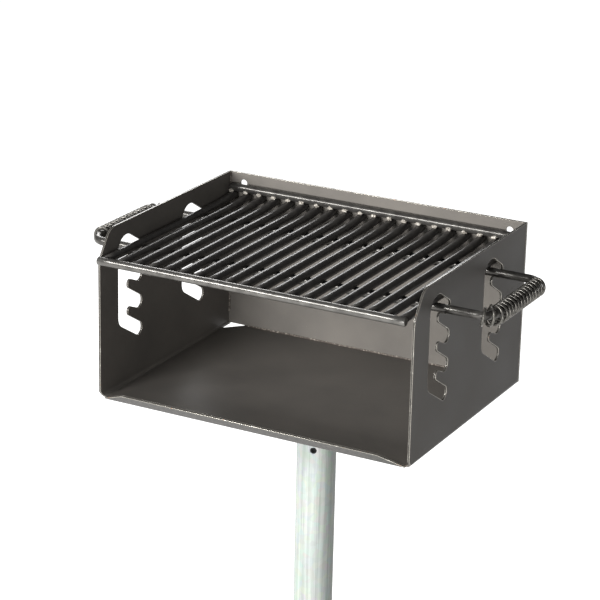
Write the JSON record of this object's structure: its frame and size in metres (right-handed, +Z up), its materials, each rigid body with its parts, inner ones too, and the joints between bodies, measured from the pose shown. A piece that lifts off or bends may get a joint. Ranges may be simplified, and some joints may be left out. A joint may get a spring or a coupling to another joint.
{
  "type": "park charcoal grill on a post",
  "caption": "Park charcoal grill: a steel firebox that turns on an upright pipe post, with a rod grate carried by coil-gripped handles in comb slots.",
  "frame": {"origin": "on the post's axis at ground level", "axes": "+Z up along the post, -Y towards the firebox's open front, +X to the right in a front view"},
  "size_m": [0.6818, 0.3928, 1.3307],
  "materials": {
    "black_enamel": "heat-resistant black enamel, semi-gloss",
    "black_rod": "black enamel on round bar, glossy",
    "spring_wire": "blackened spring wire, glossy",
    "galvanised_pipe": "galvanised, pale and slightly streaked",
    "black_screw": "black oxide"
  },
  "bodies": {
    "post": {"post": "galvanised_pipe", "set_screw": "black_screw"},
    "firebox": {"firebox_body": "black_enamel", "firebox_back": "black_enamel", "floor_doubler": "black_enamel", "pivot_stub": "black_enamel"},
    "grate": {"grate_front_bar": "black_rod", "grate_rear_bar": "black_rod", "grate_rod_01": "black_rod", "grate_rod_02": "black_rod", "grate_rod_03": "black_rod", "grate_rod_04": "black_rod", "grate_rod_05": "black_rod", "grate_rod_06": "black_rod", "grate_rod_07": "black_rod", "grate_rod_08": "black_rod", "grate_rod_09": "black_rod", "grate_rod_10": "black_rod", "grate_rod_11": "black_rod", "grate_rod_12": "black_rod", "grate_rod_13": "black_rod", "grate_rod_14": "black_rod", "grate_rod_15": "black_rod", "grate_rod_16": "black_rod", "grate_rod_17": "black_rod", "grate_rod_18": "black_rod", "grate_rod_19": "black_rod", "grate_rod_20": "black_rod", "left_handle_rod": "black_rod", "right_handle_rod": "black_rod", "left_grip": "spring_wire", "right_grip": "spring_wire"}
  },
  "joints": [
    {"name": "firebox_swivel", "type": "hinge", "parent": "post", "child": "firebox", "pos_m": [0, 0, 0.6167], "axis": [0, 0, 1], "continuous": true},
    {"name": "grate_lift", "type": "slide", "parent": "firebox", "child": "grate", "axis": [0, -0.9205, 0.3907], "range_m": [0, 0.0455]}
  ]
}
